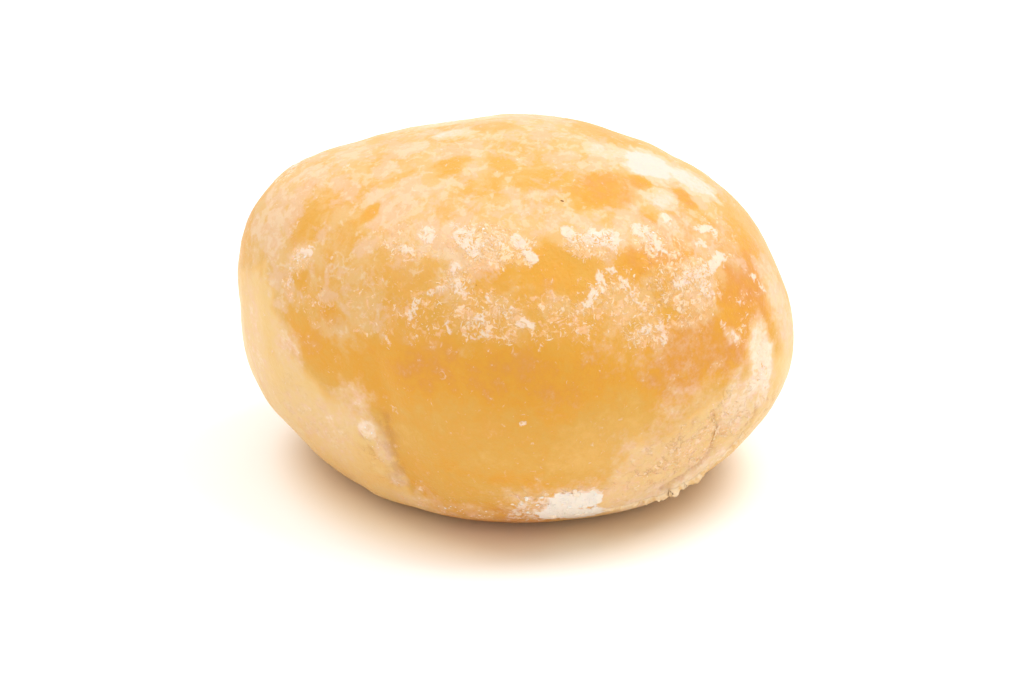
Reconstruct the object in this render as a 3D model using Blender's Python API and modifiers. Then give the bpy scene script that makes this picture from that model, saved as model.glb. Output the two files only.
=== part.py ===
"""A round yeast-dough beignet, dusted with sugar: one closed solid, in metres, +Z up.

The origin is on the table, under the middle of the beignet's box, and -Y is the front. A place on
the crust is given as (side, up), the direction in degrees in which it lies from the beignet's core:
side runs round from the front towards +X, and up is above the level of the widest line.
"""

import math
import random

import bmesh
import bpy
from mathutils import Vector, noise
from mathutils.bvhtree import BVHTree

# Driving dimensions, in metres
WIDTH = 0.0950
DEPTH = 0.0815
HEIGHT = 0.0595
BELLY_HEIGHT = 0.0255  # of the widest line, above the table

# The form of the dough, before the table flattens it
CROWN_RISE = 0.0315  # from the widest line to the top
UNDERSIDE_DROP = 0.0345  # from the widest line to the bottom, more than BELLY_HEIGHT, so it is pressed flat
# A superellipse's power: 2 is a dome, and more is flatter with a fuller shoulder
CROWN_FULLNESS = 2.31
UNDERSIDE_FULLNESS = 2.12
FULLNESS_BLEND = 0.35  # how far above and below the widest line one turns into the other, as a sine
MEAN_REACH = 0.0442  # from the core to the widest line
# The outline from above: a count of lobes, their height as a share of MEAN_REACH, and the side of one
PLAN_LOBES = ((2, 0.082, 79), (3, 0.0275, 26), (4, 0.031, 84))
BELLY_SLOPE = Vector((0.021, -0.015))  # rise of the widest line towards +X and +Y
CROWN_LEAN = -0.158  # how far the crown leans towards +X, as a share of its rise
TABLE_ROUNDING = 0.004  # the soft bend between the flat foot and the underside
FOOT_PRESS = 0.0002  # how much further the weight of the dough flattens the foot, which gives it its rim

CAGE_CUTS = 6  # cuts across each face of the cube that the cage starts from
SMOOTHING_LEVELS = 2

# Soft swells and dents of the dough: name, side, up, radius and height in metres
SWELLS = (
    ("front bulge", -3, -4, 0.016, 0.0013),
    ("front shoulder", -5, 20, 0.011, 0.0007),
    ("left foot swell", -42, -27, 0.010, 0.0012),
    ("left lower flat", -50, -12, 0.014, -0.0010),
    ("left flat", -86, 2, 0.012, -0.0002),
    ("left low flat", -82, -26, 0.011, -0.0008),
    ("left upper swell", -99, 26, 0.011, 0.0011),
    ("left shoulder flat", -122, 50, 0.012, -0.0009),
    ("right lower flat", 45, -8, 0.012, -0.0007),
    ("right low flat", 74, -20, 0.009, -0.0007),
    ("right foot flat", 33, -37, 0.007, -0.0007),
    ("right swell", 78, -3, 0.013, 0.0006),
    ("right upper flat", 93, 31, 0.013, -0.0006),
    ("crown dip", -70, 58, 0.010, -0.0006),
    ("crown right swell", 114, 52, 0.010, 0.0004),
    ("back crown swell", -152, 50, 0.013, 0.0007),
    ("back dent", 150, 4, 0.015, -0.0012),
    ("back bulge", -160, -8, 0.014, 0.0012),
    ("left back swell", -115, 18, 0.014, 0.0010),
    ("right back flat", 112, -14, 0.013, -0.0010),
)
# Folds in the skin: name, the places that they run through, half width, and depth in metres, which is
# less than 0 for a lip of crust that stands proud
FOLDS = (
    ("left fold", ((-37, 6), (-33, -5), (-30, -15), (-28, -25)), 0.0022, 0.0009),
    ("right fold", ((59, 8), (53, -4), (48, -13), (43, -20), (34, -25)), 0.0021, 0.0011),
    ("right lip", ((58, -8), (54, -15), (49, -22), (41, -27)), 0.0017, -0.0009),
    ("back fold", ((-150, 12), (-143, -2), (-136, -14)), 0.0023, 0.0009),
    ("right back fold", ((100, 6), (108, -6), (120, -12), (131, -22)), 0.0022, 0.0008),
)
UNEVENNESS = ((0.0170, 0.00085), (0.0075, 0.00030), (0.0036, 0.00012))  # scale and height of its noise

# Where sugar lies thick: name, side, up, half width, half height, thickness in metres, and loose lumps
SUGAR_BEDS = (
    ("front foot", 16, -25, 0.0085, 0.0034, 0.00060, 9),
    ("crown front", -4, 42, 0.0110, 0.0040, 0.00030, 6),
    ("crown right", 30, 39, 0.0100, 0.0036, 0.00035, 6),
    ("right shoulder", 48, 26, 0.0070, 0.0045, 0.00030, 5),
    ("right fold", 56, 4, 0.0025, 0.0070, 0.00035, 3),
    ("left fold", -31, -10, 0.0020, 0.0070, 0.00030, 2),
    ("back crown", 165, 45, 0.0110, 0.0045, 0.00035, 6),
    ("back foot", -170, -22, 0.0080, 0.0034, 0.00045, 5),
    ("left back shoulder", -110, 30, 0.0080, 0.0045, 0.00030, 4),
)
BED_FULL, BED_END = 0.8, 1.2  # the shares of a bed's size where its full thickness ends and where it ends
BED_EDGE_RAGGEDNESS = 0.45  # how far that edge wanders, as a share of the bed's size
BED_EDGE_SCALE = 0.0030
LUMP_RADIUS = (0.0006, 0.0012)  # least and most
LUMP_FLATNESS = 0.6  # height of a lump against its width
LUMP_SUNK = 0.25  # how deep a lump's middle lies below the crust, as a share of its radius
LUMP_UNEVENNESS = 0.18
SEED = 7

CRUST_COLOUR = (0.83, 0.50, 0.16, 1.0)
CRUST_ROUGHNESS = 0.55


def new_material(name, colour, roughness):
    material = bpy.data.materials.new(name)
    material.use_nodes = True
    shader = material.node_tree.nodes["Principled BSDF"]
    shader.inputs["Base Color"].default_value = colour
    shader.inputs["Roughness"].default_value = roughness
    shader.inputs["Metallic"].default_value = 0.0
    return material


def new_object(name, mesh, collection):
    made = bpy.data.objects.new(name, mesh)
    collection.objects.link(made)
    return made


def new_collection(name):
    collection = bpy.data.collections.new(name)
    bpy.context.scene.collection.children.link(collection)
    return collection


def evaluated_mesh(source):
    """A new mesh of the object with its modifiers applied."""
    graph = bpy.context.evaluated_depsgraph_get()
    return bpy.data.meshes.new_from_object(source.evaluated_get(graph))


def direction_to(side, up):
    """The unit vector from the core towards a place, given in degrees."""
    side, up = math.radians(side), math.radians(up)
    return Vector((math.sin(side) * math.cos(up), -math.cos(side) * math.cos(up), math.sin(up)))


def belly_reach(side):
    """The distance from the core to the widest line, at a side in radians."""
    lobes = sum(height * math.cos(count * (side - math.radians(turn))) for count, height, turn in PLAN_LOBES)
    return MEAN_REACH * (1 + lobes)


def pressed_on_table(height):
    """A height above the table once the dough rests on it: none is below 0, and the bend is soft."""
    if height >= TABLE_ROUNDING:
        return height
    if height <= -TABLE_ROUNDING:
        return 0.0
    return (height + TABLE_ROUNDING) ** 2 / (4 * TABLE_ROUNDING)


def soft_step(share):
    """0 up to share 0 and 1 from share 1, with a soft bend at both."""
    share = max(0.0, min(1.0, share))
    return share * share * (3 - 2 * share)


def dough_point(direction):
    """The point of the smooth dough that lies in this direction: a superellipse from foot to crown."""
    side = math.atan2(direction.x, -direction.y)
    level, rise = math.hypot(direction.x, direction.y), abs(direction.z)
    crown_share = soft_step(0.5 + 0.5 * direction.z / FULLNESS_BLEND)
    fullness = UNDERSIDE_FULLNESS + (CROWN_FULLNESS - UNDERSIDE_FULLNESS) * crown_share
    shrink = (level**fullness + rise**fullness) ** (-1 / fullness)
    reach = belly_reach(side) * level * shrink
    height = (CROWN_RISE if direction.z >= 0 else -UNDERSIDE_DROP) * rise * shrink
    x, y = math.sin(side) * reach, -math.cos(side) * reach
    height += BELLY_SLOPE.x * x + BELLY_SLOPE.y * y
    lean = CROWN_LEAN * max(height, 0.0)
    return Vector((x + lean, y, pressed_on_table(BELLY_HEIGHT + height)))


def dough_cage(collection):
    """A cube cut into a coarse net and moulded to the dough, with the smoothing that rounds it."""
    form = bmesh.new()
    bmesh.ops.create_cube(form, size=2.0)
    bmesh.ops.subdivide_edges(form, edges=form.edges[:], cuts=CAGE_CUTS, use_grid_fill=True)
    for vertex in form.verts:
        # The tangent spreads the net evenly over the ball.
        even = Vector(math.tan(share * math.pi / 4) for share in vertex.co)
        vertex.co = dough_point(even.normalized())
    mesh = bpy.data.meshes.new("dough cage")
    form.to_mesh(mesh)
    form.free()
    cage = new_object("dough cage", mesh, collection)
    smoothing = cage.modifiers.new("smoothing", "SUBSURF")
    smoothing.levels = smoothing.render_levels = SMOOTHING_LEVELS
    return cage


class Crust:
    """The smooth dough's skin, which finds the places that are given as a side and an up."""

    def __init__(self, mesh):
        self.core = Vector((0.0, 0.0, BELLY_HEIGHT))
        corners = [vertex.co.copy() for vertex in mesh.vertices]
        self.tree = BVHTree.FromPolygons(corners, [face.vertices[:] for face in mesh.polygons])

    def at(self, side, up):
        """(point, normal) of the skin at a place."""
        point, normal, _, _ = self.tree.ray_cast(self.core, direction_to(side, up))
        return point, normal

    def frame_at(self, side, up):
        """(point, level unit vector along the skin, unit vector up the skin, normal) at a place."""
        point, normal = self.at(side, up)
        along = Vector((0, 0, 1)).cross(normal).normalized()
        return point, along, normal.cross(along), normal


def hump(distance, radius):
    """1 in the middle, falling softly to nothing at about twice the radius."""
    return math.exp(-((distance / radius) ** 2))


def distance_to_line(point, line):
    """The least distance from a point to a line of straight stretches."""
    least = math.inf
    for start, end in zip(line, line[1:]):
        stretch = end - start
        share = max(0.0, min(1.0, (point - start).dot(stretch) / stretch.length_squared))
        least = min(least, (start + share * stretch - point).length)
    return least


def bed_cover(point, frame, half_width, half_height):
    """How thickly a bed of sugar covers a point, from 0 outside its ragged edge to 1."""
    middle, along, upward, normal = frame
    offset = point - middle
    if abs(offset.dot(normal)) > max(half_width, half_height):
        return 0.0  # on the far side of the beignet
    out = math.hypot(offset.dot(along) / half_width, offset.dot(upward) / half_height)
    out += BED_EDGE_RAGGEDNESS * noise.noise(point / BED_EDGE_SCALE)
    return max(0.0, min(1.0, (BED_END - out) / (BED_END - BED_FULL)))


def add_relief(mesh, crust):
    """Moves the dough's skin along its normals by its swells, dents, folds, sugar beds and unevenness."""
    swells = [(crust.at(side, up)[0], radius, height) for _, side, up, radius, height in SWELLS]
    folds = [([crust.at(*place)[0] for place in places], half, depth) for _, places, half, depth in FOLDS]
    beds = [
        (crust.frame_at(side, up), half_width, half_height, thickness)
        for _, side, up, half_width, half_height, thickness, _ in SUGAR_BEDS
    ]
    skin = [(vertex.co.copy(), vertex.normal.copy()) for vertex in mesh.vertices]
    for vertex, (point, normal) in zip(mesh.vertices, skin):
        lift = sum(height * hump((point - middle).length, radius) for middle, radius, height in swells)
        lift -= sum(depth * hump(distance_to_line(point, line), half) for line, half, depth in folds)
        lift += sum(thickness * bed_cover(point, *bed) for *bed, thickness in beds)
        lift += sum(height * noise.noise(point / scale) for scale, height in UNEVENNESS)
        free_of_table = min(1.0, point.z / TABLE_ROUNDING)
        vertex.co = point + normal * lift * free_of_table
        vertex.co.z = max(0.0, vertex.co.z - FOOT_PRESS)


def sugar_lump(name, middle, normal, radius, draw, collection):
    """A small uneven lump of sugar that lies flat on the crust and is sunk a little into it."""
    form = bmesh.new()
    bmesh.ops.create_icosphere(form, subdivisions=1, radius=radius)
    for vertex in form.verts:
        vertex.co *= 1 + draw.uniform(-LUMP_UNEVENNESS, LUMP_UNEVENNESS)
        vertex.co.z *= LUMP_FLATNESS
    mesh = bpy.data.meshes.new(name)
    form.to_mesh(mesh)
    form.free()
    lump = new_object(name, mesh, collection)
    lump.location = middle - normal * radius * LUMP_SUNK
    lump.rotation_mode = "QUATERNION"
    lump.rotation_quaternion = normal.to_track_quat("Z", "X")
    return lump


def scatter_lumps(crust, collection):
    """The loose lumps of each sugar bed, strewn over it by a seeded draw."""
    draw = random.Random(SEED)
    for name, side, up, half_width, half_height, _, count in SUGAR_BEDS:
        middle, along, upward, _ = crust.frame_at(side, up)
        for number in range(count):
            turn, out = draw.uniform(0, 2 * math.pi), math.sqrt(draw.random())
            offset = along * half_width * out * math.cos(turn) + upward * half_height * out * math.sin(turn)
            point, normal, _, _ = crust.tree.find_nearest(middle + offset)
            radius = draw.uniform(*LUMP_RADIUS)
            sugar_lump(f"{name} lump {number}", point, normal, radius, draw, collection)


def fuse(target, collection):
    """Joins the collection's solids to the target in one Boolean union, and removes them."""
    union = target.modifiers.new("union", "BOOLEAN")
    union.operation = "UNION"
    union.operand_type = "COLLECTION"
    union.collection = collection
    union.solver = "EXACT"
    fused = evaluated_mesh(target)
    target.modifiers.clear()
    target.data = fused
    for lump in collection.objects[:]:
        bpy.data.objects.remove(lump)
    bpy.data.collections.remove(collection)


def fit_to_size(mesh):
    """Brings the mesh to its stated size, with the origin on the table under the middle of its box."""
    low = [min(vertex.co[axis] for vertex in mesh.vertices) for axis in range(3)]
    high = [max(vertex.co[axis] for vertex in mesh.vertices) for axis in range(3)]
    middle = Vector(((low[0] + high[0]) / 2, (low[1] + high[1]) / 2, low[2]))
    for vertex in mesh.vertices:
        offset = vertex.co - middle
        for axis, side in enumerate((WIDTH, DEPTH, HEIGHT)):
            offset[axis] *= side / (high[axis] - low[axis])
        vertex.co = offset


def build():
    for leftover in bpy.data.objects[:]:
        bpy.data.objects.remove(leftover)
    pastry = new_collection("beignet parts")
    lumps = new_collection("sugar lumps")

    cage = dough_cage(pastry)
    dough = evaluated_mesh(cage)
    bpy.data.objects.remove(cage)
    add_relief(dough, Crust(dough))

    beignet = new_object("beignet", dough, pastry)
    scatter_lumps(Crust(dough), lumps)
    fuse(beignet, lumps)
    fit_to_size(beignet.data)
    beignet.data.materials.clear()
    beignet.data.materials.append(new_material("fried dough", CRUST_COLOUR, CRUST_ROUGHNESS))
    beignet.data.shade_smooth()


build()
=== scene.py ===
"""The looks of a fried beignet under a patchy dusting of sugar.

Everything is in metres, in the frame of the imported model: +Z up, -Y the front. What the photograph shows
is placed by the pixel where it shows in its 1024 x 682 frame, and is laid on the crust along the camera's
line of sight. What it doesn't show is placed by (side, up), the direction in degrees in which it lies from
the beignet's core: side runs round from the front towards +X, and up is above the level of the core.
"""

import math

import bmesh
import bpy
import numpy as np
from mathutils import Matrix, Vector, noise
from mathutils.bvhtree import BVHTree


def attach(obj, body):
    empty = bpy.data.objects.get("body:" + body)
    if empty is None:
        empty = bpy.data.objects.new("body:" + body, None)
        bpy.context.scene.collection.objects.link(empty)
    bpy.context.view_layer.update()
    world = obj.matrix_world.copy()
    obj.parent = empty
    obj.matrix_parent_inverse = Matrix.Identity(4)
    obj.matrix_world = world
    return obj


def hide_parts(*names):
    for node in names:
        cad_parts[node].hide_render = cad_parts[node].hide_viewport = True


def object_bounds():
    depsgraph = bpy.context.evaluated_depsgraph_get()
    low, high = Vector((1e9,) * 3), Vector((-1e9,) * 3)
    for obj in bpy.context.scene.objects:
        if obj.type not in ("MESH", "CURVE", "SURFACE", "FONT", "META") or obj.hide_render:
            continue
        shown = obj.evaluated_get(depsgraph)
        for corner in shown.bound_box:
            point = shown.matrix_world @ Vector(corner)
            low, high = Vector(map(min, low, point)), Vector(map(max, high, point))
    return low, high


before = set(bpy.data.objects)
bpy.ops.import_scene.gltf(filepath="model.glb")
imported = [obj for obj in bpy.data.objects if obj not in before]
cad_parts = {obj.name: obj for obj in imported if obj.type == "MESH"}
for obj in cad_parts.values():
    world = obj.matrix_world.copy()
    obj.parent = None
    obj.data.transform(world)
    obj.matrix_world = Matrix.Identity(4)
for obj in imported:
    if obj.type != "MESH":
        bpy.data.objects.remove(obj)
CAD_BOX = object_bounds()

MM = 0.001
SEED = 11

# ---- The camera, at the photograph's angle

IMAGE_WIDTH, IMAGE_HEIGHT = 1024, 682
CAMERA_ELEVATION = 25.0  # degrees above the table
CAMERA_REACH = 0.55  # from the middle of the beignet to the camera
CLIP_START, CLIP_END = 0.05, 20.0
VIEWED_MIDDLE = Vector((0.0, 0.0, 0.029))
AIM_POINT = Vector((-0.00055, 0.0, 0.0226))  # what lies in the middle of the picture
SENSOR_WIDTH = 36.0  # mm
BEIGNET_WIDTH = 0.095
BEIGNET_PIXELS = 556.5  # its width in the photograph, and a little for how far back its widest line lies
FOCAL_PIXELS = BEIGNET_PIXELS / BEIGNET_WIDTH * CAMERA_REACH


def new_object(name, data):
    made = bpy.data.objects.new(name, data)
    bpy.context.scene.collection.objects.link(made)
    return made


def look_at(placed, point):
    placed.rotation_euler = (point - placed.location).to_track_quat("-Z", "Y").to_euler()


def make_camera():
    camera = new_object("camera", bpy.data.cameras.new("camera"))
    camera.data.sensor_width = SENSOR_WIDTH
    camera.data.lens = FOCAL_PIXELS / IMAGE_WIDTH * SENSOR_WIDTH
    camera.data.clip_start, camera.data.clip_end = CLIP_START, CLIP_END
    tilt = math.radians(CAMERA_ELEVATION)
    camera.location = VIEWED_MIDDLE + CAMERA_REACH * Vector((0.0, -math.cos(tilt), math.sin(tilt)))
    look_at(camera, AIM_POINT)
    bpy.context.scene.camera = camera
    bpy.context.view_layer.update()
    return camera


def sight_line(camera, pixel):
    """(start, direction) of the line of sight through a pixel."""
    across = (pixel[0] - IMAGE_WIDTH / 2) / FOCAL_PIXELS
    upward = (IMAGE_HEIGHT / 2 - pixel[1]) / FOCAL_PIXELS
    turn = camera.matrix_world.to_3x3()
    return camera.location.copy(), (turn @ Vector((across, upward, -1.0))).normalized()


# ---- The net: an even mesh laid over the solid and smoothed, which becomes the crust

CORE = Vector((0.0, 0.0, 0.0275))
NET_CUTS = 126  # across each face of the cube that the net starts from
SMOOTHING_ROUNDS = 28
FOOT_CLEARANCE = 0.02 * MM  # of the foot above the table
LAYER_SHIFT = 7.3  # between the layers of a noise, so that they differ


def direction_to(side, up):
    side, up = math.radians(side), math.radians(up)
    return Vector((math.sin(side) * math.cos(up), -math.cos(side) * math.cos(up), math.sin(up)))


def corner_numbers(parts):
    """The numbers of the corners of each face or edge."""
    return np.array([[vertex.index for vertex in part.verts] for part in parts])


class Net:
    """A mesh as arrays: its points, and the corners of its faces and edges."""

    def __init__(self, solid):
        tree = BVHTree.FromPolygons(
            [vertex.co.copy() for vertex in solid.vertices], [face.vertices[:] for face in solid.polygons]
        )
        form = bmesh.new()
        bmesh.ops.create_cube(form, size=2.0)
        bmesh.ops.subdivide_edges(form, edges=form.edges[:], cuts=NET_CUTS, use_grid_fill=True)
        form.verts.index_update()
        self.points = np.empty((len(form.verts), 3))
        for number, vertex in enumerate(form.verts):
            # The tangent spreads the net evenly over the ball.
            even = Vector(math.tan(share * math.pi / 4) for share in vertex.co)
            self.points[number] = tree.ray_cast(CORE, even.normalized())[0]
        self.faces = corner_numbers(form.faces)
        self.edges = corner_numbers(form.edges)
        form.free()

    def smooth(self, rounds):
        """Moves each point half way to the mean of its neighbours, again and again."""
        here, neighbour = np.concatenate((self.edges, self.edges[:, ::-1])).T
        degree = np.bincount(here, minlength=len(self.points))[:, None]
        for _ in range(rounds):
            sums = [np.bincount(here, column[neighbour], len(self.points)) for column in self.points.T]
            self.points = 0.5 * self.points + 0.5 * (np.stack(sums, axis=1) / degree)

    def crossed(self):
        """Each face's normal, twice as long as the face is large."""
        corners = self.points[self.faces]
        return np.cross(corners[:, 2] - corners[:, 0], corners[:, 3] - corners[:, 1])

    def normals(self):
        crossed = np.repeat(self.crossed(), 4, axis=0)
        sums = [np.bincount(self.faces.ravel(), column, len(self.points)) for column in crossed.T]
        sums = np.stack(sums, axis=1)
        return sums / np.linalg.norm(sums, axis=1, keepdims=True)

    def tree(self):
        return BVHTree.FromPolygons(self.points.tolist(), self.faces.tolist())


def field(points, scale, shift=0.0):
    """Smooth noise from about -1 to 1 at each point, with features about scale across."""
    return np.array([noise.noise(row) for row in points / scale + shift])


def layered_field(points, scale, layers, shift=0.0):
    """Noise of several layers, each half as large and half as strong as the one before."""
    shares = [0.5**layer for layer in range(layers)]
    shifts = [shift + LAYER_SHIFT * layer for layer in range(layers)]
    parts = [share * field(points, scale * share, moved) for share, moved in zip(shares, shifts)]
    return sum(parts) / sum(shares)


def soft(values):
    """0 up to 0 and 1 from 1, with a soft bend at both."""
    held = np.clip(values, 0.0, 1.0)
    return held * held * (3 - 2 * held)


def hump(distance, radius):
    """1 in the middle, falling softly to nothing at about twice the radius."""
    return np.exp(-((distance / radius) ** 2))


def distance_to_line(points, line):
    """Each point's least distance to a line of straight stretches."""
    least = np.full(len(points), np.inf)
    for start, end in zip(line, line[1:]):
        stretch = end - start
        share = np.clip((points - start) @ stretch / (stretch @ stretch), 0.0, 1.0)
        least = np.minimum(least, np.linalg.norm(start + share[:, None] * stretch - points, axis=1))
    return least


def turned_frame(normal, turn):
    """Unit vectors along and up the surface at a normal, turned anticlockwise, in degrees."""
    along = Vector((0, 0, 1)).cross(normal).normalized()
    turned = Matrix.Rotation(math.radians(turn), 3, normal)
    return np.array(turned @ along), np.array(turned @ normal.cross(along))


PATCH_END = 1.5  # the share of a patch's size where it has faded out
PATCH_RAGGEDNESS = 0.4
PATCH_SCALE = 1.8 * MM
PATCH_DEPTH_FADE = 3.0  # below its middle it fades over the last third of its size


class Crust:
    """The smooth crust, on which places are found and patches are laid."""

    def __init__(self, net, camera):
        self.camera = camera
        self.points = net.points.copy()
        self.normals = net.normals()
        self.tree = net.tree()
        level = np.hypot(self.points[:, 0], self.points[:, 1])
        self.side = np.degrees(np.arctan2(self.points[:, 0], -self.points[:, 1]))
        self.up = np.degrees(np.arctan2(self.points[:, 2] - CORE.z, level))

    def seen_at(self, pixel):
        """(point, normal) of the crust at a pixel of the photograph."""
        return self.tree.ray_cast(*sight_line(self.camera, pixel))[:2]

    def at(self, place):
        """(point, normal) of the crust at a (side, up)."""
        return self.tree.ray_cast(CORE, direction_to(*place))[:2]

    def spots(self, seen, behind):
        """The rows of a table of pixels and of one of (side, up), each as ((point, normal), its sizes)."""
        found = [(self.seen_at((x, y)), *sizes) for x, y, *sizes in seen.values()]
        return found + [(self.at((side, up)), *sizes) for side, up, *sizes in behind.values()]

    def lines(self, seen, behind):
        """The same of two tables of lines, each as (the points along it, its sizes)."""
        found = [([self.seen_at(pixel)[0] for pixel in line], *sizes) for line, *sizes in seen.values()]
        found += [([self.at(place)[0] for place in line], *sizes) for line, *sizes in behind.values()]
        return [(np.array(line), *sizes) for line, *sizes in found]

    def patch(self, found, half_width, half_height, turn=0):
        """How much each point is covered by an oval with a ragged edge, turned by that many degrees."""
        middle, normal = found
        along, upward = turned_frame(normal, turn)
        offset = self.points - np.array(middle)
        out = np.hypot(offset @ along / half_width, offset @ upward / half_height)
        depth = np.abs(offset @ np.array(normal)) / max(half_width, half_height)
        near = np.nonzero((out < PATCH_END + PATCH_RAGGEDNESS) & (depth < 1.0))[0]
        ragged = PATCH_RAGGEDNESS * layered_field(self.points[near], PATCH_SCALE, 2, middle.x / MM)
        cover = np.zeros(len(self.points))
        cover[near] = soft(PATCH_END - out[near] + ragged) * soft(PATCH_DEPTH_FADE * (1.0 - depth[near]))
        return cover


# ---- What lies where on the crust: amounts from 0 to 1 at each point

# The line round the belly above which the crust is fried golden: side and up
FRY_LINE = (
    (-180, -6), (-150, -10), (-125, -2), (-100, 8), (-78, 12), (-66, 5), (-54, -3), (-44, -8), (-36, -13),
    (-31, -34), (-18, -52), (8, -52), (18, -36), (26, -16), (36, -7), (46, -3), (58, 0), (68, 3), (80, 7),
    (100, 3), (125, -6), (150, -3), (180, -6),
)
FRY_EDGE = 15.0  # degrees over which it turns
FRY_WANDER, FRY_WANDER_SCALE = 9.0, 9 * MM  # degrees by which the line wanders, and the size of its bends
UNDERSIDE_FRIED = -50.0  # up, below which it is golden again, where it lay in the oil
GOLDEN = 0.66  # of the way from pale dough to brown

# Each patch: its pixel (x, y), its half width and half height in mm, its amount, and any turn in degrees.
# Deeper and paler places of the crust:
BROWNED = {
    "front band": (505, 374, 20, 4.5, 0.22),
    "front band left": (425, 372, 7, 3.5, 0.28),
    "right cheek": (705, 350, 11, 7, 0.62, -12),
    "right shoulder": (735, 280, 9, 11, 0.6),
    "right crown": (676, 248, 9, 6, 0.62),
    "left shoulder spot": (332, 316, 2.6, 2, 0.24),
    "crown right": (612, 190, 8, 6, 0.34, -8),
    "crown right tan": (642, 184, 2, 2.4, 0.34, -15),
    "crown far right": (685, 198, 1.8, 2.6, 0.5, -50),
}
PALED = {
    "left end": (258, 340, 7, 13, 0.66, 8),
    "lower front": (490, 450, 16, 7, 0.16),
    "lower left of front": (415, 455, 5, 8, 0.24),
    "lower right of front": (600, 452, 10, 8, 0.3, 20),
    "lower right edge": (690, 470, 12, 6, 0.4, 35),
    "foot front": (462, 490, 13, 4, 0.3),
}

# Thin, half clear sugar film, which turns glassy white where its amount is near 1; on the top right of the
# crown that white is partly a painted reflection of the lights:
FILMED = {
    # On the top right of the crown the film is thick enough to turn white: partly sugar, partly a painted
    # reflection of the lights.
    "crown glaze left": (608, 152, 4.6, 5, 0.86, -14),
    "crown glaze": (650, 163, 7.6, 6, 1.06, -22),
    "crown glaze right": (691, 181, 5.4, 6, 0.98, -34),
    "glaze patch": (659, 198, 4.6, 3.6, 0.88, -10),
    "glaze column": (668, 222, 2.4, 4, 0.8),
    "pale patch": (591, 211, 1.8, 2.8, 0.78),
    "top streak": (455, 133, 3, 4.4, 0.9, 30),
    "top streak left": (410, 148, 5, 3.6, 0.7, 6),
    # Film here also lightens the top outline: partly painted rim light.
    "top edge left": (352, 150, 8, 4, 0.62, 18),
    "crown cream": (384, 168, 3, 3.4, 0.64),
    "crown pink": (405, 204, 8, 6.4, 0.62),
    "crown pink left": (372, 197, 2, 3, 0.7),
    "left top cream": (315, 170, 3.6, 4.4, 0.62, 20),
    "left top pink": (289, 186, 2.4, 3, 0.64, 30),
    "crown middle": (540, 205, 9, 4, 0.56),
    "crown top right": (560, 150, 7, 5, 0.58, -8),
    "front of crown": (450, 240, 15, 6, 0.58),
    "right of middle": (620, 240, 11, 4, 0.54),
    "right crown": (700, 232, 7, 6, 0.5, -35),
    # Film here also lightens the right outline: partly painted rim light.
    "right rim": (728, 240, 4, 8, 0.44, -35),
    "left shoulder": (290, 270, 8, 7, 0.52, 30),
    "left crown": (270, 215, 9, 9, 0.6, 20),
    "right shoulder": (700, 285, 8, 6, 0.52, -25),
    "right end": (782, 300, 5, 10, 0.6),
    "fleck band left": (345, 296, 12, 7, 0.4),
    "fleck band": (480, 300, 16, 5, 0.26),
    "fleck band right": (620, 308, 12, 6, 0.2),
}

# Soft powder, thicker than the film and with no clear edge:
POWDERED = {
    "front of crown": (484, 240, 8, 3.4, 0.34, -8),
    "right of middle": (598, 240, 6, 2.6, 0.34),
    "right crown": (700, 240, 6, 4, 0.24, -35),
    "right white": (700, 276, 5, 3.2, 0.3, 10),
    "left shoulder": (303, 256, 3, 3, 0.32, 20),
    "left end": (254, 345, 5, 11, 0.56, 5),
    "left streak": (287, 350, 3.4, 7, 0.48, 25),
    "lower left": (318, 424, 10, 8, 0.46, -35),
    "left of the fold": (350, 408, 4.6, 6, 0.52, -20),
    "left fold": (367, 429, 2.4, 2.2, 0.8),
    "left fold streak": (383, 449, 1.6, 3.8, 0.6, 12),
    "left fold low": (398, 481, 1.8, 2, 0.52),
    "foot left": (440, 508, 12, 3.4, 0.44),
    "round the clump": (556, 502, 10, 5, 0.46, 2),
    "foot right": (620, 500, 7, 7, 0.52, 22),
    "lower right": (664, 456, 13, 8, 0.42, 32),
    "lower right edge": (700, 470, 9, 5, 0.68, 38),
    "foot right edge": (652, 496, 9, 5, 0.62, 20),
    "lower right top": (690, 408, 9, 5, 0.34, 20),
    "right cheek low": (738, 404, 5, 7, 0.66),
    "right streak": (762, 366, 3.4, 8.5, 0.9),
    "right end": (780, 312, 4, 8, 0.52),
    "far right": (731, 335, 2.4, 1.2, 0.46, -45),
    "right front": (655, 332, 12, 6, 0.26),
    "right cheek": (700, 356, 8, 6, 0.22),
}

# Windows of bare crust in the film:
BARED = {
    "crown window left": (446, 167, 2.4, 3.8, 0.55),
    "crown small window": (400, 177, 1, 3, 0.4),
    "top window": (503, 163, 2.2, 2.6, 0.35),
    "crown middle window": (482, 186, 3.2, 3.2, 0.4),
    "top rim": (490, 126, 3.4, 4.4, 0.4),
    "crown window": (545, 178, 5, 3, 0.45),
    "right rim": (608, 134, 6, 4.4, 0.55, -12),
    "crown right window": (606, 192, 6.6, 5, 0.7, -8),
    "tan window": (642, 184, 2.2, 2.4, 0.75, -15),
    "far right window": (685, 198, 1.8, 2.6, 0.75, -50),
    "tan patch": (648, 214, 2.6, 1.8, 0.6),
    "middle window": (540, 268, 10, 4.4, 0.7),
    "left window": (322, 211, 3.4, 4.4, 0.46),
    "left low window": (307, 236, 3, 2.8, 0.46, -10),
    "olive spot": (370, 213, 1.2, 2.2, 0.8),
    "left of crown window": (345, 232, 3, 2.6, 0.4),
    "left spot": (302, 280, 1.8, 1.8, 0.7),
    "left low spot": (332, 315, 2.4, 1.8, 0.7),
    "right window": (640, 262, 5, 2.4, 0.75),
    "right cheek window": (738, 306, 4.4, 6, 0.8),
}

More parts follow.
